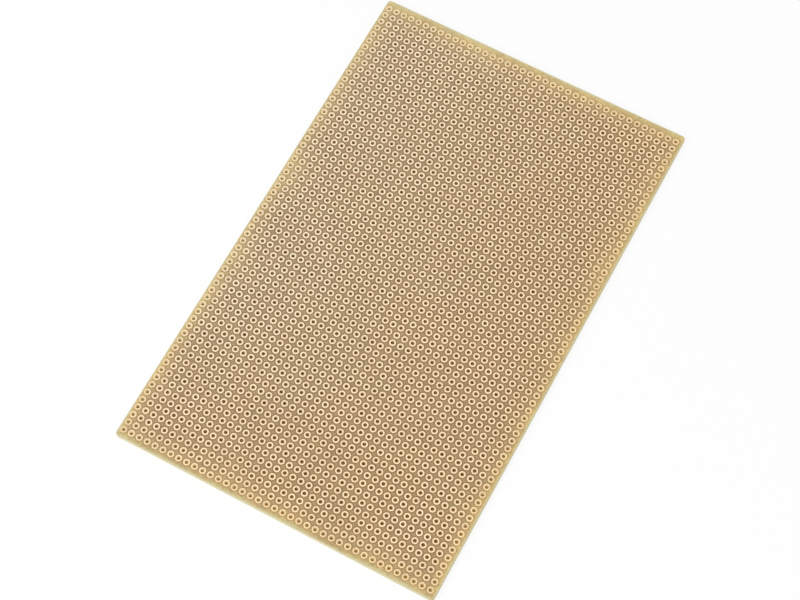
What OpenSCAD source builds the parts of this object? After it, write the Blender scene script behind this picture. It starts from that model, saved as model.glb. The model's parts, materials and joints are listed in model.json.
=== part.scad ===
// Prototype board: a single-sided board of phenolic paper in the 100 x 160 mm card format,
// punched all over with a 2.54 mm grid of lead holes, with an etched copper ring round each.
// Origin: the middle of the component face. +Z is the copper side, +Y runs along the long side.

/* [Board] */
// Length of the short side
board_x = 100; // [100:0.5:160]
// Length of the long side
board_y = 160; // [160:0.5:233]
// Thickness of the laminate
board_t = 1.5; // [0.8:0.1:3.2]
// Radius of the four corners
corner_r = 1.0; // [0.2:0.1:3]

/* [Hole grid] */
// Distance between neighbouring holes
pitch = 2.54; // [2.2:0.01:2.54]
// Holes along the short side; each makes one column of rings
columns = 39; // [10:1:39]
// Holes along the long side
rows = 62; // [10:1:62]
// Diameter of a lead hole
hole_d = 1.0; // [0.6:0.05:1.2]
// How far the grid sits from the board's middle along the short side
grid_shift_x = -0.27; // [-0.4:0.01:0.4]
// How far the grid sits from the board's middle along the long side
grid_shift_y = -0.2; // [-0.5:0.01:0.5]

/* [Copper] */
// Outer diameter of a copper ring, where it meets the laminate
ring_d = 2.0; // [1.6:0.05:2.1]
// Thickness of the copper foil
foil_t = 0.035; // [0.035:0.005:0.105]
// How far the etchant ate sideways under the resist, for each unit of foil thickness
undercut = 0.7; // [0:0.1:1]

/* [Hidden] */
$fn = 48;
paper_colour = [0.69, 0.57, 0.43];
copper_colour = [0.98, 0.88, 0.75];
first_x = grid_shift_x - (columns - 1) * pitch / 2;
first_y = grid_shift_y + (rows - 1) * pitch / 2;
ring_top_d = ring_d - 2 * undercut * foil_t;

// Column 0 is at low X, and row 0 is at high Y.
function column_x(column) = first_x + column * pitch;
function row_y(row) = first_y - row * pitch;
function two_digits(number) = str(number < 10 ? "0" : "", number);
function ring_node(column) = str("pads_column_", two_digits(column + 1));

// The sheared outline: two crossed rectangles, with a circle in each corner they leave open.
module board_outline() {
    square([board_x - 2 * corner_r, board_y], center = true);
    square([board_x, board_y - 2 * corner_r], center = true);
    for (side_x = [-1, 1], side_y = [-1, 1])
        translate([side_x * (board_x / 2 - corner_r), side_y * (board_y / 2 - corner_r)])
            circle(r = corner_r);
}

// The sheet, punched with every lead hole in one stroke.
module laminate() {
    color(paper_colour)
        linear_extrude(board_t)
            difference() {
                board_outline();
                for (column = [0 : columns - 1], row = [0 : rows - 1])
                    translate([column_x(column), row_y(row)])
                        circle(d = hole_d);
            }
}

// One ring: its inner wall is straight, because it was punched through with the sheet,
// and its outer wall leans inwards, because it was etched from above.
module copper_ring() {
    rotate_extrude()
        polygon([
            [hole_d / 2, 0],
            [ring_d / 2, 0],
            [ring_top_d / 2, foil_t],
            [hole_d / 2, foil_t]
        ]);
}

// The rings of one column, each seated on the sheet round its own hole.
module ring_column(column) {
    color(copper_colour)
        for (row = [0 : rows - 1])
            translate([column_x(column), row_y(row), board_t])
                copper_ring();
}

laminate();
for (column = [0 : columns - 1])
    ring_column(column);
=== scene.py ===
"""Prototype board: a sheet of phenolic paper punched with a grid of lead holes, with a ring of
copper etched round every hole on one side."""

import functools
import json
import math

import bpy
import numpy as np
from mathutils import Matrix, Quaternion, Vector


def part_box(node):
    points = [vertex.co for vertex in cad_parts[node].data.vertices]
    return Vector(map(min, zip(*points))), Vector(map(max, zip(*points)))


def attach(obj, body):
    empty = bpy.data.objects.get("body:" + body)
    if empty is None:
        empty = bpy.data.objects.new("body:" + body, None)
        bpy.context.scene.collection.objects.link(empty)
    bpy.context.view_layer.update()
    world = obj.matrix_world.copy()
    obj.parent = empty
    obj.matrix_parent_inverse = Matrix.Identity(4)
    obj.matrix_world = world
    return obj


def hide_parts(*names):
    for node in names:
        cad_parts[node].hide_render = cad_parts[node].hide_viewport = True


bl_info = {
    "name": "Prototype board",
    "version": (1, 0, 0),
    "blender": (4, 5, 0),
    "location": "View3D > Sidebar > Board",
    "description": "Adds a punched phenolic board with a copper ring round every lead hole",
    "category": "Add Mesh",
}

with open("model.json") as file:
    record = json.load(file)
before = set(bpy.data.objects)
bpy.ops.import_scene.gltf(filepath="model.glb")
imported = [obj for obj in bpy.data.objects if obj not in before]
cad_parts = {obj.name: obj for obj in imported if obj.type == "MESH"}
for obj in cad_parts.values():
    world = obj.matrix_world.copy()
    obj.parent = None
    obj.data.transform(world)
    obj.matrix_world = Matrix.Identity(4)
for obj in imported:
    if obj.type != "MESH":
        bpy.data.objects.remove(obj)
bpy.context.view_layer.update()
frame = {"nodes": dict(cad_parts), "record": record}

MM = 0.001
BODY = "root"
BAKE_MAP = "OFBake"
SHARP_ANGLE = math.radians(30)

# Places taken from the frame, in metres. Column 0 is at low X, and row 0 is at high Y.
SHEET_NODE = "laminate"
SHEET_LOW, SHEET_HIGH = (np.array(corner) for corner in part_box(SHEET_NODE))
RING_NODES = sorted(name for name in frame["nodes"] if name.startswith("pads_column_"))
RING_LOW, RING_HIGH = (np.array(corner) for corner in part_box(RING_NODES[0]))
MOUNTS = {mount["name"]: mount for mount in frame["record"]["mounts"]}
FIRST_HOLE = np.array(MOUNTS["lead_hole_first"]["pos_m"][:2])
LAST_HOLE = np.array(MOUNTS["lead_hole_last"]["pos_m"][:2])
HOLE_RADIUS = MOUNTS["lead_hole_first"]["dims"]["r_mm"] * MM
RING_RADIUS = float(RING_HIGH[0] - RING_LOW[0]) / 2
COLUMNS = len(RING_NODES)
PITCH = float(LAST_HOLE[0] - FIRST_HOLE[0]) / (COLUMNS - 1)
ROWS = round(float(FIRST_HOLE[1] - LAST_HOLE[1]) / PITCH) + 1
COLUMN_X = np.linspace(FIRST_HOLE[0], LAST_HOLE[0], COLUMNS)
ROW_Y = np.linspace(FIRST_HOLE[1], LAST_HOLE[1], ROWS)
HALF_SIZE = (SHEET_HIGH[:2] - SHEET_LOW[:2]) / 2


# ------------------------------------------------------------------ settings

def length(name, description, default):
    """A setting for a length in metres."""
    return bpy.props.FloatProperty(
        name=name, description=description, default=default, min=0, precision=5, unit="LENGTH")


def colour(name, description, default):
    """A setting for a linear colour."""
    return bpy.props.FloatVectorProperty(
        name=name, description=description, default=default, min=0, max=1, subtype="COLOR")


def turn(name, description, degrees):
    """A setting for an angle."""
    return bpy.props.FloatProperty(
        name=name, description=description, default=math.radians(degrees),
        subtype="ANGLE", unit="ROTATION")


class BoardShape(bpy.types.PropertyGroup):
    """Forms of the board beside the sizes in its frame"""
    quarter_sides: bpy.props.IntProperty(
        name="Sides per quarter", description="Flat sides in each quarter of a hole or ring",
        default=4, min=2, max=8)
    corner_steps: bpy.props.IntProperty(
        name="Corner steps", description="Flat sides in each rounded corner of the sheet",
        default=8, min=2, max=24)
    corner_radius: length("Corner radius", "Radius of the sheet's four corners", 1.0 * MM)
    edge_break: length("Edge break", "Width of the worn slope along the cut edges", 0.07 * MM)
    outer_slope: length(
        "Outer slope", "How far the etched side of a ring leans inwards", 0.0245 * MM)
    inner_slope: length(
        "Inner slope", "How far the punch drew a ring's inner edge down", 0.03 * MM)


class BoardColours(bpy.types.PropertyGroup):
    """Colours of the paper, the copper and the floor"""
    paper: colour("Paper", "Laminate away from its rim", (0.407, 0.288, 0.153))
    paper_rosy: colour("Rosy paper", "Redder patches of the laminate", (0.418, 0.284, 0.159))
    paper_rim: colour("Paper at the rim", "Laminate that light soaks into", (0.655, 0.538, 0.255))
    # The paper is darker close round each ring.
    ring_line: colour("Ring line", "Tint of the paper close round a ring", (0.665, 0.630, 0.560))
    ring_line_rim: colour(
        "Ring line at the rim", "The same tint where light soaks in", (0.970, 0.840, 0.730))
    # The hole wall is darker towards the copper side.
    wall_top: colour("Hole wall's top", "Wall that the punch rubbed smooth", (0.370, 0.265, 0.125))
    wall: colour("Hole wall", "Punched wall at the component side", (0.940, 0.735, 0.425))
    wall_rim: colour(
        "Hole wall at the rim", "Punched wall that light soaks into", (0.975, 0.905, 0.660))
    edge: colour("Cut edge", "Sheared side of the sheet", (0.650, 0.600, 0.360))
    copper: colour("Copper", "Lacquered copper away from the rim", (1.000, 0.817, 0.616))
    # Painted shade: copper near the sheet's rim is painted darker, standing in for its dimmer sheen
    # there.
    copper_rim_shade: colour("Copper at the rim", "Lacquered copper near the rim", (0.850, 0.665, 0.385))
    # Darker tint along both edges of each ring, strongest at the inner edge.
    ring_edge_tint: colour(
        "Ring edge tint", "Tint of the lacquer dried along a ring's edges", (0.590, 0.505, 0.360))
    # A warm tint over the copper side that grows towards high X and low Y.
    warmth: colour("Film", "Tint of the lacquer where it is thick", (0.981, 0.916, 0.792))
    # Painted light: the table under the board is painted brown, standing in for light that came
    # through the laminate.
    floor_lit_through_board: colour("Floor below", "Table seen through the holes", (0.860, 0.630, 0.330))
    floor: colour("Floor", "Table and backdrop", (0.970, 0.970, 0.970))


class BoardStage(bpy.types.PropertyGroup):
    """Camera and light"""
    azimuth: turn("Azimuth", "Camera's turn round the board, from the -Y side towards +X", 27.817)
    elevation: turn("Elevation", "Camera's height above the horizon", 66.318)
    roll: turn("Roll", "Camera's turn about its own line of sight, anticlockwise", 0.554)
    distance: length("Distance", "From the camera to the point that it looks at", 578.85 * MM)
    aim: bpy.props.FloatVectorProperty(
        name="Aim", description="Point on the copper side that the camera looks at",
        default=(0.412 * MM, -6.619 * MM, RING_HIGH[2]), precision=5, subtype="XYZ", unit="LENGTH")
    lens: bpy.props.FloatProperty(
        name="Focal length", description="Of the camera, on a 36 mm sensor",
        default=91.15, min=1, subtype="DISTANCE_CAMERA", unit="CAMERA")
    room_light: bpy.props.FloatProperty(
        name="Room light", description="Strength of the even light from all round",
        default=0.72, min=0)
    key_power: bpy.props.FloatProperty(
        name="Key power", description="Power of the soft lamp", default=7.7, min=0, unit="POWER")


# ------------------------------------------------------------------ shapes

def circle_angles(quarter_sides):
    return np.arange(4 * quarter_sides) * math.pi / (2 * quarter_sides)


def circles_round_holes(radius, angles):
    """A circle round every hole: the hole's centre plus radius times the cosine and the sine of
    each angle. Shape: rows, columns, angles, 2."""
    centres = np.stack(np.meshgrid(COLUMN_X, ROW_Y), axis=-1)
    return centres[:, :, None, :] + radius * np.stack([np.cos(angles), np.sin(angles)], axis=-1)


def nodes_between_holes():
    """The points midway between four holes, and one more line of such points round the outside.
    Shape: rows + 1, columns + 1, 2."""
    x = np.append(COLUMN_X, COLUMN_X[-1] + PITCH) - PITCH / 2
    y = np.append(ROW_Y, ROW_Y[-1] - PITCH) + PITCH / 2
    return np.stack(np.meshgrid(x, y), axis=-1)


def at_height(plan, height):
    """Points of a plan as one list of points in space, all at this height."""
    flat = plan.reshape(-1, 2)
    return np.column_stack([flat, np.full(len(flat), height)])


def numbered(start, *shape):
    """Point numbers from start, laid out in this shape."""
    return start + np.arange(math.prod(shape)).reshape(shape)


def walk_round(nodes, core, steps):
    """Walks once round the outer line of nodes, anticlockwise from above. Each stop gives a node's
    number, a centre on the edge of the core, which is half the sheet's size less its rounding,
    and the direction outwards. At a corner the walk waits while the direction turns a quarter in
    this many steps. Along a side the centre keeps beside the node."""
    numbers = numbered(0, *nodes.shape[:2])
    sides = [numbers[-1, :], numbers[::-1, -1], numbers[0, ::-1], numbers[:, 0]]
    stops, centres, turns = [], [], []
    for quarter, side in enumerate(sides):
        facing = (quarter - 1) * math.pi / 2
        out = np.array([math.cos(facing), math.sin(facing)]).round()
        before = np.array([out[1], -out[0]])
        beside = np.where(out != 0, out * core, nodes.reshape(-1, 2)[side[1:-1]])
        stops += [np.full(steps + 1, side[0]), side[1:-1]]
        centres += [np.tile((out + before) * core, (steps + 1, 1)), beside]
        corner = np.linspace(facing - math.pi / 2, facing, steps + 1)
        turns += [corner, np.full(len(beside), facing)]
    turns = np.concatenate(turns)
    outwards = np.column_stack([np.cos(turns), np.sin(turns)])
    return np.concatenate(stops), np.concatenate(centres), outwards


def bands(loops):
    """Quads between each loop of point numbers and the next, closed round the loops. The last
    axis of loops runs round a loop, and the one before it from loop to loop."""
    after = np.roll(loops, -1, axis=-1)
    quads = [loops[..., :-1, :], loops[..., 1:, :], after[..., 1:, :], after[..., :-1, :]]
    return np.stack(quads, axis=-1).reshape(-1, 4)


def cell_faces(holes, nodes, quarter_sides):
    """Triangles between each hole and the four nodes round it: one from each flat side of the hole
    to the node of its own quarter, and one at each quarter turn to the nodes on both sides."""
    around = np.stack([nodes[:-1, 1:], nodes[:-1, :-1], nodes[1:, :-1], nodes[1:, 1:]], axis=-1)
    fans = [holes, np.repeat(around, quarter_sides, axis=-1), np.roll(holes, -1, axis=-1)]
    gaps = [holes[:, :, ::quarter_sides], np.roll(around, 1, axis=-1), around]
    return np.concatenate([np.stack(part, axis=-1).reshape(-1, 3) for part in (fans, gaps)])


def margin_faces(stops, outline):
    """Faces between the nodes' outer line and the outline: a quad for each step along a side, and
    a triangle for each step round a corner, where the node stays the same."""
    quads = np.stack([stops, outline, np.roll(outline, -1), np.roll(stops, -1)], axis=-1)
    waiting = quads[:, 0] == quads[:, 3]
    return quads[~waiting], quads[waiting, :3]


def add_piece(name, points, patches, finishes):
    """Makes one mesh object at the origin. A patch is an array of point numbers, one line for each
    face, a table of every point's place on the piece's map, and the number of its finish."""
    faces = [face for numbers, _, _ in patches for face in numbers.tolist()]
    places = np.concatenate([table[numbers].reshape(-1, 2) for numbers, table, _ in patches])
    slots = np.concatenate([np.full(len(numbers), slot) for numbers, _, slot in patches])
    mesh = bpy.data.meshes.new(name)
    mesh.from_pydata(points, [], faces)
    for finish in finishes:
        mesh.materials.append(finish)
    mesh.polygons.foreach_set("material_index", slots)
    mesh.uv_layers.new(name=BAKE_MAP).uv.foreach_set("vector", places.ravel())
    mesh.shade_smooth()
    mesh.set_sharp_from_angle(angle=SHARP_ANGLE)
    piece = bpy.data.objects.new(name, mesh)
    bpy.context.scene.collection.objects.link(piece)
    return piece


# The sheet's finishes, in the order of its material slots.
ETCHED_FACE, PLAIN_FACE, PUNCHED_WALL, CUT_SIDE = range(4)
# How much of a hole's radius is left at the low end of its wall, on the sheet's map.
WALL_DRAWN_IN = 0.35


def sheet_maps(plan, unrolled, skirt):
    """Places on one unit square for the copper side, unrolled with its cut edge and hole walls,
    and beside it for the component side, mirrored as it is seen."""
    gap = 2 * MM
    full = 2 * (HALF_SIZE + skirt)
    square = np.array([full[0] + 2 * HALF_SIZE[0] + 3 * gap, full[1] + 2 * gap])
    above = unrolled + full / 2 + gap
    below = plan * (-1, 1) + HALF_SIZE + (full[0] + 2 * gap, skirt + gap)
    return above / square, below / square


def build_sheet(shape, finishes):
    """The punched sheet. Each face is cells of triangles round the holes and a margin out to the
    outline, each hole has one straight wall, and the outline goes down over a narrow worn slope,
    the cut edge and another slope. On the map the cut edge hangs round the copper side like a
    skirt, and a hole's wall is drawn in towards the hole's middle."""
    top, bottom = SHEET_HIGH[2], SHEET_LOW[2]
    angles = circle_angles(shape.quarter_sides)
    holes = circles_round_holes(HOLE_RADIUS, angles)
    nodes = nodes_between_holes()
    stops, centres, out = walk_round(nodes, HALF_SIZE - shape.corner_radius, shape.corner_steps)
    full = centres + out * shape.corner_radius
    inset = centres + out * (shape.corner_radius - shape.edge_break)
    points = np.concatenate([
        at_height(holes, top), at_height(nodes, top),
        at_height(holes, bottom), at_height(nodes, bottom),
        at_height(inset, top), at_height(full, top - shape.edge_break),
        at_height(full, bottom + shape.edge_break), at_height(inset, bottom),
    ])

    hole_numbers = numbered(0, *holes.shape[:3])
    node_numbers = numbered(hole_numbers.size, *nodes.shape[:2])
    below = hole_numbers.size + node_numbers.size
    rim = numbered(2 * below, 4, len(stops))
    stops = stops + hole_numbers.size

    skirt = top - bottom + shape.edge_break
    unrolled = points[:, :2].copy()
    drawn_in = circles_round_holes(HOLE_RADIUS * WALL_DRAWN_IN, angles)
    unrolled[hole_numbers.ravel() + below] = drawn_in.reshape(-1, 2)
    drops = (0, shape.edge_break, skirt - shape.edge_break, skirt)
    unrolled[rim] = [full + out * drop for drop in drops]
    copper_side, component_side = sheet_maps(points[:, :2], unrolled, skirt)

    cells = cell_faces(hole_numbers, node_numbers, shape.quarter_sides)
    walls = bands(np.stack([hole_numbers, hole_numbers + below], axis=2))
    upper_slope, cut_side, lower_slope = bands(rim).reshape(3, -1, 4)
    return add_piece("phenolic_sheet", points, [
        (cells, copper_side, ETCHED_FACE),
        *((faces, copper_side, ETCHED_FACE) for faces in margin_faces(stops, rim[0])),
        (cells[:, ::-1] + below, component_side, PLAIN_FACE),
        *((faces[:, ::-1], component_side, PLAIN_FACE)
          for faces in margin_faces(stops + below, rim[3])),
        (walls[:, ::-1], copper_side, PUNCHED_WALL),
        (upper_slope, copper_side, ETCHED_FACE),
        (cut_side, copper_side, CUT_SIDE),
        (lower_slope, copper_side, PLAIN_FACE),
    ], finishes)


def build_ring_column(name, x, shape, finish):
    """The copper rings of one column. A ring is a section with four corners carried round a hole:
    the etched side leans in, the top is flat, the punched side leans out and the underside is
    flat. On the map each ring has its own square, where its sides lie as circles in one another."""
    angles = circle_angles(shape.quarter_sides)
    circle = np.column_stack([np.cos(angles), np.sin(angles)])
    section = np.array([
        (RING_RADIUS, RING_LOW[2]),
        (RING_RADIUS - shape.outer_slope, RING_HIGH[2]),
        (HOLE_RADIUS + shape.inner_slope, RING_HIGH[2]),
        (HOLE_RADIUS, RING_LOW[2]),
    ])
    points = np.zeros((ROWS, len(section), len(angles), 3))
    points[..., :2] = section[:, 0, None, None] * circle
    points[..., 2] = section[:, 1, None]
    points[..., 0] += x
    points[..., 1] += ROW_Y[:, None, None]

    across = math.ceil(math.sqrt(ROWS))
    squares = np.column_stack(np.divmod(np.arange(ROWS), across)) + 0.5
    map_radii = np.array([0.47, 0.43, 0.22, 0.17])
    underside_radius = 0.06
    upper = squares[:, None, None, :] + map_radii[:, None, None] * circle
    under = upper.copy()
    under[:, 0] = squares[:, None, :] + underside_radius * circle
    numbers = numbered(0, *points.shape[:3])
    return add_piece(name, points.reshape(-1, 3), [
        (bands(numbers)[:, ::-1], upper.reshape(-1, 2) / across, 0),
        (bands(numbers[:, [3, 0]])[:, ::-1], under.reshape(-1, 2) / across, 0),
    ], [finish])


# ------------------------------------------------------------------ nodes

class Wiring:
    """Wires one node tree. Every method adds a node and gives back the socket or sockets that the
    next node needs."""

    def __init__(self, tree):
        self.tree = tree

    def add(self, kind, inputs=(), **settings):
        """Adds a node, sets its properties, and sets or links its inputs by name or number."""
        made = self.tree.nodes.new(kind)
        for name, value in settings.items():
            setattr(made, name, value)
        for name, value in dict(inputs).items():
            if isinstance(value, bpy.types.NodeSocket):
                self.tree.links.new(value, made.inputs[name])
            else:
                made.inputs[name].default_value = value
        return made

    def place(self):
        """The point being shaded, in metres in the board's own frame."""
        return self.add("ShaderNodeTexCoord").outputs["Object"]

    def math(self, operation, *values):
        return self.add("ShaderNodeMath", enumerate(values), operation=operation).outputs[0]

    def vector(self, operation, *values):
        made = self.add("ShaderNodeVectorMath", enumerate(values), operation=operation)
        return made.outputs["Value" if operation == "LENGTH" else "Vector"]

    def scaled(self, vector, by):
        """A vector or a colour times a number."""
        made = self.add("ShaderNodeVectorMath", {0: vector, "Scale": by}, operation="SCALE")
        return made.outputs[0]

    def split(self, vector):
        return self.add("ShaderNodeSeparateXYZ", {0: vector}).outputs

    def ease(self, value, low, high, to_low=0.0, to_high=1.0):
        """Goes smoothly from to_low, where value is at low, to to_high, where it is at high."""
        return self.add(
            "ShaderNodeMapRange", enumerate((value, low, high, to_low, to_high)),
            interpolation_type="SMOOTHSTEP").outputs[0]

    def noise(self, place, scale, detail=2.0, roughness=0.5):
        return self.add("ShaderNodeTexNoise", {
            "Vector": place, "Scale": scale, "Detail": detail, "Roughness": roughness}).outputs[0]

    def streaks(self, place, degrees, stretch, scale):
        """Noise drawn out along one direction of the sheet."""
        turned = self.add("ShaderNodeMapping", {
            "Vector": place, "Rotation": (0, 0, math.radians(degrees)), "Scale": (1, stretch, 1)})
        return self.noise(turned.outputs[0], scale, 3.0, 0.6)

    def mix(self, factor, *colours):
        """A blend of two colours, each of them a socket or the three parts of a colour."""
        first, second = (c if isinstance(c, bpy.types.NodeSocket) else (*c, 1) for c in colours)
        made = self.add("ShaderNodeMix", {0: factor, 6: first, 7: second}, data_type="RGBA")
        return made.outputs[2]

    def effect(self, tree, **inputs):
        """Places a shared effect with its own values, and gives back its outputs."""
        return self.add("ShaderNodeGroup", inputs, node_tree=tree).outputs

    def bumps(self, height, depth):
        """A normal that rises by depth, in metres, where height goes from 0 to 1."""
        return self.add("ShaderNodeBump", {"Height": height, "Distance": depth}).outputs[0]


def start_effect(name, inputs, outputs):
    """Starts a node group with these named inputs, each with its default, and these outputs, each
    a number or, where its default has three parts, a vector. Gives its wiring and its inputs."""
    tree = bpy.data.node_groups.new(name, "ShaderNodeTree")
    for way, sockets in (("INPUT", inputs), ("OUTPUT", outputs)):
        for label, default in sockets.items():
            kind = "NodeSocketVector" if isinstance(default, tuple) else "NodeSocketFloat"
            socket = tree.interface.new_socket(name=label, in_out=way, socket_type=kind)
            socket.default_value = default
    wiring = Wiring(tree)
    return wiring, wiring.add("NodeGroupInput").outputs


def end_effect(wiring, **outputs):
    """Ends a node group in its output node, and gives back its tree."""
    wiring.add("NodeGroupOutput", outputs)
    return wiring.tree


ORIGIN = (0.0, 0.0, 0.0)
# Light soaks into the faces further at low X and high Y, and into the holes at low X and low Y.
FACE_SHIFT = (0.1 * MM, -0.7 * MM, 0)
WALL_SHIFT = (0.1 * MM, 0.35 * MM, 0)
# The paper's grain runs along Y, so a distance counts for more along X than along Y.
GRAIN = (1.1, 0.87, 1)


@functools.cache
def rim_effect():
    """How close a point is to the sheet's outline: 1 on the outline, falling off as the base of
    natural logarithms to the power of minus the distance over Reach. It falls faster across the
    paper's grain than along it, and faster in some places than in others. Shift moves it."""
    wiring, inputs = start_effect(
        "rim_distance", {"Place": ORIGIN, "Shift": ORIGIN, "Reach": 2.7 * MM}, {"Rim": 0.0})
    moved = wiring.vector("SUBTRACT", inputs["Place"], inputs["Shift"])
    inside = wiring.vector("SUBTRACT", (*HALF_SIZE, 0), wiring.vector("ABSOLUTE", moved))
    across, along, _ = wiring.split(wiring.vector("MULTIPLY", inside, GRAIN))
    distance = wiring.math("MAXIMUM", wiring.math("MINIMUM", across, along), 0)
    clouds = wiring.noise(wiring.scaled(inputs["Place"], 1 / MM), 0.06)
    uneven = wiring.ease(clouds, 0.3, 0.7, 0.7, 1.4)
    falling = wiring.math("DIVIDE", wiring.math("MULTIPLY", distance, uneven), inputs["Reach"])
    return end_effect(wiring, Rim=wiring.math("EXPONENT", wiring.math("MULTIPLY", falling, -1)))


@functools.cache
def hole_effect():
    """The nearest hole: how far its middle is, in metres, and its column and row, counted from
    the first hole. The place is rounded to whole pitches and kept within the grid."""
    wiring, inputs = start_effect(
        "nearest_hole", {"Place": ORIGIN}, {"Radius": 0.0, "Cell": ORIGIN})
    first = (*FIRST_HOLE, 0)
    from_first = wiring.vector("SUBTRACT", inputs["Place"], first)
    pitches = wiring.vector("DIVIDE", from_first, (PITCH, PITCH, 1))
    whole = wiring.vector("FLOOR", wiring.vector("ADD", pitches, (0.5, 0.5, 0.5)))
    cell = wiring.vector("MAXIMUM", whole, (0, 1 - ROWS, 0))
    cell = wiring.vector("MINIMUM", cell, (COLUMNS - 1, 0, 0))
    middle = wiring.vector("MULTIPLY_ADD", cell, (PITCH, PITCH, 0), first)
    apart = wiring.vector("MULTIPLY", wiring.vector("SUBTRACT", inputs["Place"], middle), (1, 1, 0))
    return end_effect(wiring, Radius=wiring.vector("LENGTH", apart), Cell=cell)


@functools.cache
def fibre_effect():
    """Pressed paper fibres under resin. Tone is drawn-out noise in three directions with a fine
    grain and broad clouds, Patches are broad changes of hue, and Flecks are a few specks."""
    wiring, inputs = start_effect(
        "paper_fibres", {"Place": ORIGIN}, {"Tone": 0.5, "Patches": 0.5, "Flecks": 0.0})
    place = wiring.scaled(inputs["Place"], 1 / MM)
    strands = wiring.math(
        "ADD", wiring.streaks(place, 12, 5, 0.55), wiring.streaks(place, 74, 5, 0.6))
    strands = wiring.math("ADD", strands, wiring.streaks(place, 131, 4, 0.7))
    broad = wiring.math("MULTIPLY", wiring.math("ADD", strands, wiring.noise(place, 0.35)), 0.17)
    tone = wiring.math("MULTIPLY_ADD", wiring.noise(place, 1.7, 3.0, 0.65), 0.32, broad)
    specks = wiring.add("ShaderNodeTexVoronoi", {"Vector": place, "Scale": 0.55})
    chosen = wiring.math("GREATER_THAN", wiring.split(specks.outputs["Color"])[0], 0.72)
    flecks = wiring.math("MULTIPLY", wiring.ease(specks.outputs["Distance"], 0.13, 0.05), chosen)
    patches = wiring.ease(wiring.noise(place, 0.09, 3.0, 0.55), 0.35, 0.65)
    return end_effect(wiring, Tone=tone, Patches=patches, Flecks=flecks)


@functools.cache
def handling_effect():
    """Where fingers and packing have dulled a face: broad smudges with a few fine scuffs."""
    wiring, inputs = start_effect("handling_marks", {"Place": ORIGIN}, {"Dulled": 0.5})
    place = wiring.scaled(inputs["Place"], 1 / MM)
    smudges = wiring.ease(wiring.noise(place, 0.045, 4.0, 0.6), 0.35, 0.7)
    scuffs = wiring.ease(wiring.streaks(place, 35, 14, 0.12), 0.62, 0.75)
    return end_effect(wiring, Dulled=wiring.math("MAXIMUM", smudges, scuffs))


@functools.cache
def warm_tint_effect():
    """A warm tint over the copper side, which grows towards the high X side and the low Y
    end."""
    wiring, inputs = start_effect("warm_tint", {"Place": ORIGIN}, {"Film": 0.5})
    waves = wiring.noise(wiring.scaled(inputs["Place"], 1 / MM), 0.03, 2.0)
    across, along, _ = wiring.split(inputs["Place"])
    low_y_lift = wiring.ease(along, -20 * MM, -75 * MM, 0, 45 * MM)
    run = wiring.math("ADD", wiring.math("MULTIPLY_ADD", waves, 40 * MM, across), low_y_lift)
    return end_effect(wiring, Film=wiring.ease(run, -60 * MM, 75 * MM))


@functools.cache
def wear_effect():
    """A ragged pale band along the sheet's outline, Width wide, where resin has chipped away."""
    wiring, inputs = start_effect("edge_wear", {"Place": ORIGIN, "Width": 0.25 * MM}, {"Worn": 0.0})
    rim = wiring.effect(rim_effect(), Place=inputs["Place"], Reach=inputs["Width"])["Rim"]
    ragged = wiring.noise(wiring.scaled(inputs["Place"], 1 / MM), 1.4, 4.0, 0.65)
    return end_effect(wiring, Worn=wiring.ease(wiring.math("MULTIPLY", rim, ragged), 0.18, 0.42))


# ------------------------------------------------------------------ finishes

def start_finish(name):
    """Starts a material, and gives its wiring, the material and the place being shaded."""
    material = bpy.data.materials.new(name)
    material.use_nodes = True
    material.node_tree.nodes.clear()
    wiring = Wiring(material.node_tree)
    return material, wiring, wiring.place()


def end_finish(wiring, inputs):
    """Ends a material in one Principled shader."""
    shader = wiring.add("ShaderNodeBsdfPrincipled", inputs)
    wiring.add("ShaderNodeOutputMaterial", {"Surface": shader.outputs[0]})


def paper_colour(wiring, place, fibres, colours, tint=(1, 1, 1), rim_tint=(1, 1, 1)):
    """The mottled laminate with a tint. Its hue changes in patches, light that soaks in at the
    rim turns it khaki, with a tint of its own, and its tone follows the fibres."""
    rim = wiring.effect(rim_effect(), Place=place, Shift=FACE_SHIFT)["Rim"]
    hue = wiring.mix(fibres["Patches"], colours.paper, colours.paper_rosy)
    khaki = wiring.math("MULTIPLY", rim, wiring.math("MULTIPLY_ADD", fibres["Patches"], -0.3, 1.12))
    lit = wiring.mix(
        khaki, wiring.vector("MULTIPLY", hue, tint),
        wiring.vector("MULTIPLY", colours.paper_rim, rim_tint))
    tone = wiring.math("MULTIPLY_ADD", fibres["Tone"], 2.5, -0.25)
    return wiring.scaled(lit, wiring.math("MULTIPLY_ADD", fibres["Flecks"], -0.3, tone))


def warm_tinted(wiring, place, colour_below, colours):
    """A colour under the warm tint."""
    warmth = wiring.effect(warm_tint_effect(), Place=place)["Film"]
    return wiring.vector("MULTIPLY", colour_below, wiring.mix(warmth, (1, 1, 1), colours.warmth))


def etched_face(colours):
    """The face round the rings: matt where the foil was etched away, and darker close to each
    ring."""
    material, wiring, place = start_finish("paper_etched_face")
    fibres = wiring.effect(fibre_effect(), Place=place)
    radius = wiring.effect(hole_effect(), Place=place)["Radius"]
    close = wiring.ease(radius, RING_RADIUS + 0.55 * MM, RING_RADIUS + 0.02 * MM)
    tints = [wiring.mix(close, (1, 1, 1), c) for c in (colours.ring_line, colours.ring_line_rim)]
    paper = warm_tinted(wiring, place, paper_colour(wiring, place, fibres, colours, *tints), colours)
    worn = wiring.effect(wear_effect(), Place=place, Width=0.75 * MM)["Worn"]
    base = wiring.mix(wiring.math("MULTIPLY", worn, 0.75), paper, colours.edge)
    dulled = wiring.effect(handling_effect(), Place=place)["Dulled"]
    end_finish(wiring, {
        "Base Color": base,
        "Roughness": wiring.math("MULTIPLY_ADD", dulled, 0.16, 0.46),
        "Normal": wiring.bumps(fibres["Tone"], 0.05 * MM),
    })
    return material


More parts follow.
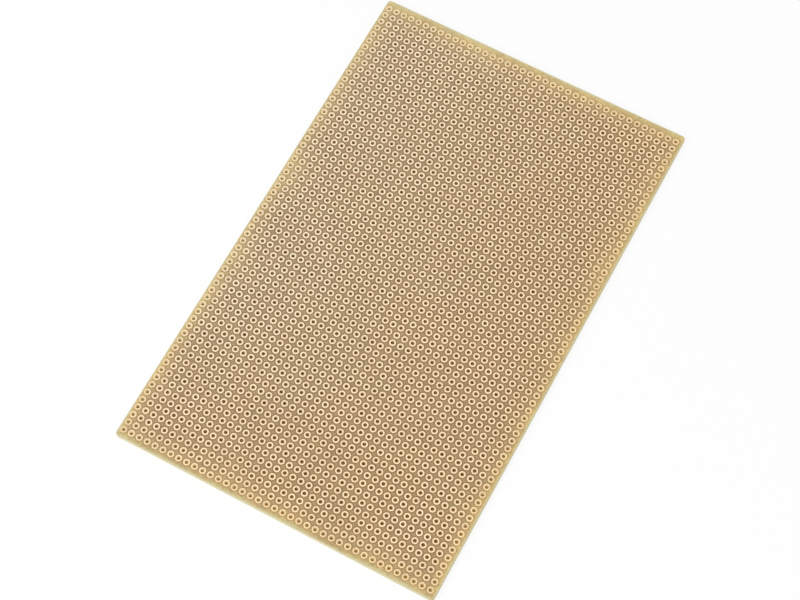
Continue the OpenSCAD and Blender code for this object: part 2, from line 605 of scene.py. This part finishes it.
def component_face(colours):
    """The plain face: smooth resin, with a pale ragged halo and a low lip round each hole, where
    the punch came through."""
    material, wiring, place = start_finish("paper_component_face")
    fibres = wiring.effect(fibre_effect(), Place=place)
    radius = wiring.effect(hole_effect(), Place=place)["Radius"]
    ragged = wiring.noise(wiring.scaled(place, 1 / MM), 2.2, 3.0, 0.6)
    reach = wiring.math("MULTIPLY_ADD", ragged, -0.35 * MM, radius)
    halo = wiring.ease(reach, HOLE_RADIUS + 0.12 * MM, HOLE_RADIUS - 0.16 * MM)
    paper = paper_colour(wiring, place, fibres, colours)
    worn = wiring.effect(wear_effect(), Place=place)["Worn"]
    pale = wiring.math("MAXIMUM", worn, wiring.math("MULTIPLY", halo, 0.55))
    dulled = wiring.effect(handling_effect(), Place=place)["Dulled"]
    lip = wiring.ease(radius, HOLE_RADIUS + 0.30 * MM, HOLE_RADIUS + 0.02 * MM)
    relief = wiring.math("ADD", lip, wiring.math("MULTIPLY", fibres["Tone"], 0.6))
    end_finish(wiring, {
        "Base Color": wiring.mix(pale, paper, colours.edge),
        "Roughness": wiring.math("MULTIPLY_ADD", dulled, 0.2, 0.3),
        "Normal": wiring.bumps(relief, 0.05 * MM),
    })
    return material


def hole_wall(colours):
    """The torn fibres of a punched hole: brown inside the board, lighter near the sheet's rim,
    and darkest towards the copper side."""
    material, wiring, place = start_finish("paper_hole_wall")
    rim = wiring.effect(rim_effect(), Place=place, Shift=WALL_SHIFT)["Rim"]
    upright = wiring.vector("MULTIPLY", wiring.scaled(place, 1 / MM), (1, 1, 0.3))
    torn = wiring.noise(upright, 7.0, 3.0, 0.6)
    towards_copper = wiring.ease(wiring.split(place)[2], SHEET_LOW[2], SHEET_HIGH[2])
    soaked = wiring.ease(rim, -0.10, 0.50)
    hue = wiring.mix(soaked, wiring.mix(towards_copper, colours.wall, colours.wall_top), colours.wall_rim)
    wall = wiring.scaled(hue, wiring.math("MULTIPLY_ADD", torn, 0.35, 0.82))
    end_finish(wiring, {
        "Base Color": warm_tinted(wiring, place, wall, colours),
        "Roughness": wiring.math("MULTIPLY_ADD", torn, 0.2, 0.7),
        "Normal": wiring.bumps(torn, 0.06 * MM),
    })
    return material


def cut_edge(colours):
    """The sheared side: the sheet's layers show as fine lines along it, broken by fibres."""
    material, wiring, place = start_finish("paper_cut_edge")
    grid = wiring.scaled(place, 1 / MM)
    layers = wiring.noise(wiring.vector("MULTIPLY", grid, (0.12, 0.12, 7.0)), 1.0, 2.0, 0.5)
    broken = wiring.noise(grid, 2.6, 4.0, 0.65)
    lines = wiring.math("MULTIPLY_ADD", layers, 0.65, wiring.math("MULTIPLY", broken, 0.35))
    tone = wiring.ease(lines, 0.3, 0.7, 0.8, 1.12)
    end_finish(wiring, {
        "Base Color": wiring.scaled(colours.edge, tone),
        "Roughness": wiring.math("MULTIPLY_ADD", broken, 0.2, 0.65),
        "Normal": wiring.bumps(lines, 0.05 * MM),
    })
    return material


def lacquered_copper(colours):
    """The rings' copper under a thin lacquer: each ring has its own tone, cleaning has left fine
    strokes, and both of a ring's edges are a little darker. Near the sheet's rim the copper is
    painted darker, as painted shade on its sheen."""
    material, wiring, place = start_finish("lacquered_copper")
    hole = wiring.effect(hole_effect(), Place=place)
    rim = wiring.effect(rim_effect(), Place=place, Shift=FACE_SHIFT)["Rim"]
    own = wiring.add("ShaderNodeTexWhiteNoise", {"Vector": hole["Cell"]}).outputs[0]
    grid = wiring.scaled(place, 1 / MM)
    strokes = wiring.math(
        "ADD", wiring.streaks(grid, 28, 9, 1.6), wiring.streaks(grid, 118, 6, 0.9))
    tone = wiring.math("MULTIPLY_ADD", strokes, 0.05, wiring.math("MULTIPLY_ADD", own, 0.10, 0.935))
    inner = wiring.ease(hole["Radius"], HOLE_RADIUS + 0.16 * MM, HOLE_RADIUS)
    outer = wiring.ease(hole["Radius"], RING_RADIUS - 0.10 * MM, RING_RADIUS, 0, 0.12)
    # Each ring is darker along both edges, most at its inner edge.
    ring_edge_tint = wiring.mix(wiring.math("MAXIMUM", inner, outer), (1, 1, 1), colours.ring_edge_tint)
    # Painted shade: towards the sheet's rim the copper is painted darker, standing in for a dimmer
    # sheen.
    clean = wiring.scaled(wiring.mix(rim, colours.copper, colours.copper_rim_shade), tone)
    metal = wiring.vector("MULTIPLY", clean, ring_edge_tint)
    dulled = wiring.effect(handling_effect(), Place=place)["Dulled"]
    end_finish(wiring, {
        "Base Color": warm_tinted(wiring, place, metal, colours),
        "Metallic": 1.0,
        "Roughness": wiring.math("MULTIPLY_ADD", dulled, 0.14, 0.34),
        "Coat Weight": 0.25,
        "Coat Roughness": 0.2,
        "Normal": wiring.bumps(strokes, 0.004 * MM),
    })
    return material


# How much of the table's look is plain white away from the board; the rest keeps its shadow.
WHITE_SHARE = 0.82


def background_rays(wiring):
    """1 for the rays that show the background: the camera's own, and those by way of gloss or
    glass."""
    path = wiring.add("ShaderNodeLightPath").outputs
    seen = wiring.math("MAXIMUM", path["Is Camera Ray"], path["Is Glossy Ray"])
    return wiring.math("MAXIMUM", seen, path["Is Transmission Ray"])


def table_top(colours):
    """The pale floor. Away from the board it looks plain white, and next to it and under it the
    board's own shade shows. Under the board it is painted brown, as painted light that came
    through the laminate."""
    material, wiring, place = start_finish("pale_table")
    beyond = wiring.vector("SUBTRACT", wiring.vector("ABSOLUTE", place), (*HALF_SIZE, 0))
    across, along, _ = wiring.split(beyond)
    away = wiring.ease(wiring.math("MAXIMUM", across, along), -1.0 * MM, -0.1 * MM)
    # Painted light: under the board the table's colour is brown, standing in for light that came
    # through the laminate.
    shader = wiring.add("ShaderNodeBsdfPrincipled", {
        "Base Color": wiring.mix(away, colours.floor_lit_through_board, colours.floor), "Roughness": 0.8})
    white = wiring.add("ShaderNodeEmission", {"Strength": 1.0})
    shown = wiring.math("MULTIPLY", background_rays(wiring), away)
    plain = wiring.math("MULTIPLY", shown, WHITE_SHARE)
    both = wiring.add("ShaderNodeMixShader", {0: plain, 1: shader.outputs[0], 2: white.outputs[0]})
    wiring.add("ShaderNodeOutputMaterial", {"Surface": both.outputs[0]})
    return material


# ------------------------------------------------------------------ operators

def settle(piece, material_slot, *nodes):
    """Ties a piece to the frame's body, and hides the nodes it stands for."""
    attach(piece, BODY)
    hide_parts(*nodes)


class BOARD_OT_add_sheet(bpy.types.Operator):
    """Add the sheet of phenolic paper, punched with every lead hole"""
    bl_idname = "board.add_sheet"
    bl_label = "Add sheet"
    bl_options = {"REGISTER", "UNDO"}

    def execute(self, context):
        colours = context.scene.board_colours
        finishes = [make(colours) for make in (etched_face, component_face, hole_wall, cut_edge)]
        settle(build_sheet(context.scene.board_shape, finishes), "laminate", SHEET_NODE)
        return {"FINISHED"}


class BOARD_OT_add_rings(bpy.types.Operator):
    """Add the copper rings, one piece for each column of holes"""
    bl_idname = "board.add_rings"
    bl_label = "Add copper rings"
    bl_options = {"REGISTER", "UNDO"}

    def execute(self, context):
        copper = lacquered_copper(context.scene.board_colours)
        for node, x in zip(RING_NODES, COLUMN_X):
            name = node.replace("pads_column", "copper_rings")
            settle(build_ring_column(name, x, context.scene.board_shape, copper), "copper", node)
        return {"FINISHED"}


class BOARD_OT_add_stage(bpy.types.Operator):
    """Add the table, the light and the camera"""
    bl_idname = "board.add_stage"
    bl_label = "Add stage"
    bl_options = {"REGISTER", "UNDO"}

    def execute(self, context):
        stage = context.scene.board_stage
        add_table(table_top(context.scene.board_colours))
        add_light(context.scene, stage)
        add_camera(context.scene, stage)
        return {"FINISHED"}


def direction(azimuth, elevation):
    """The direction from the board to a viewer, turned from -Y towards +X and then raised."""
    return np.array([
        math.sin(azimuth) * math.cos(elevation),
        -math.cos(azimuth) * math.cos(elevation),
        math.sin(elevation),
    ])


def look_from(thing, azimuth, elevation, distance, aim):
    """Puts a camera or a lamp at this distance from a point, facing it."""
    thing.location = np.array(aim) + distance * direction(azimuth, elevation)
    thing.rotation_euler = (math.pi / 2 - elevation, 0, azimuth)


def add_table(finish):
    """A flat square a hair below the board, in metres."""
    reach = 3.0
    gap = 0.01 * MM
    height = SHEET_LOW[2] - gap
    corners = [(reach * x, reach * y, height) for x, y in ((-1, -1), (1, -1), (1, 1), (-1, 1))]
    mesh = bpy.data.meshes.new("table")
    mesh.from_pydata(corners, [], [(0, 1, 2, 3)])
    mesh.materials.append(finish)
    table = bpy.data.objects.new("table", mesh)
    bpy.context.scene.collection.objects.link(table)


# The soft lamp's side and place, seen from the board, in metres.
KEY_SIZE, KEY_DISTANCE = 0.87, 1.3
KEY_AZIMUTH, KEY_ELEVATION = math.radians(-25), math.radians(42)


def add_light(scene, stage):
    """Even light from a pale room, which looks white itself, and one large soft lamp."""
    world = bpy.data.worlds.new("pale_room")
    world.use_nodes = True
    world.node_tree.nodes.clear()
    wiring = Wiring(world.node_tree)
    room = wiring.add("ShaderNodeBackground", {"Color": (1, 1, 1, 1), "Strength": stage.room_light})
    white = wiring.add("ShaderNodeBackground", {"Color": (1, 1, 1, 1), "Strength": 1.0})
    both = wiring.add("ShaderNodeMixShader", {
        0: background_rays(wiring), 1: room.outputs[0], 2: white.outputs[0]})
    wiring.add("ShaderNodeOutputWorld", {"Surface": both.outputs[0]})
    scene.world = world

    lamp = bpy.data.lights.new("soft_key", "AREA")
    lamp.energy = stage.key_power
    lamp.size = KEY_SIZE
    key = bpy.data.objects.new("soft_key", lamp)
    look_from(key, KEY_AZIMUTH, KEY_ELEVATION, KEY_DISTANCE, ORIGIN)
    scene.collection.objects.link(key)


def add_camera(scene, stage):
    lens = bpy.data.cameras.new("camera")
    lens.lens = stage.lens
    lens.clip_start = 0.01
    camera = bpy.data.objects.new("camera", lens)
    look_from(camera, stage.azimuth, stage.elevation, stage.distance, stage.aim)
    sight = direction(stage.azimuth, stage.elevation)
    camera.rotation_euler.rotate(Quaternion(sight, stage.roll))
    scene.collection.objects.link(camera)
    scene.camera = camera
    scene.view_settings.view_transform = "Standard"


class BOARD_PT_board(bpy.types.Panel):
    """Lists the board's pieces and settings"""
    bl_label = "Prototype board"
    bl_idname = "BOARD_PT_board"
    bl_space_type = "VIEW_3D"
    bl_region_type = "UI"
    bl_category = "Board"

    def draw(self, context):
        for operator in OPERATORS:
            self.layout.operator(operator.bl_idname)
        for group in SETTINGS:
            settings = getattr(context.scene, group)
            box = self.layout.box()
            for name in settings.bl_rna.properties.keys():
                if name not in ("rna_type", "name"):
                    box.prop(settings, name)


SETTINGS = {"board_shape": BoardShape, "board_colours": BoardColours, "board_stage": BoardStage}
OPERATORS = (BOARD_OT_add_sheet, BOARD_OT_add_rings, BOARD_OT_add_stage)
CLASSES = (*SETTINGS.values(), *OPERATORS, BOARD_PT_board)


def register():
    for cls in CLASSES:
        bpy.utils.register_class(cls)
    for name, group in SETTINGS.items():
        setattr(bpy.types.Scene, name, bpy.props.PointerProperty(type=group))


def unregister():
    for name in SETTINGS:
        delattr(bpy.types.Scene, name)
    for cls in reversed(CLASSES):
        bpy.utils.unregister_class(cls)


def main():
    """Registers the add-on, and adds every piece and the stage."""
    register()
    bpy.ops.board.add_stage()
    bpy.ops.board.add_sheet()
    bpy.ops.board.add_rings()


if __name__ == "__main__":
    main()
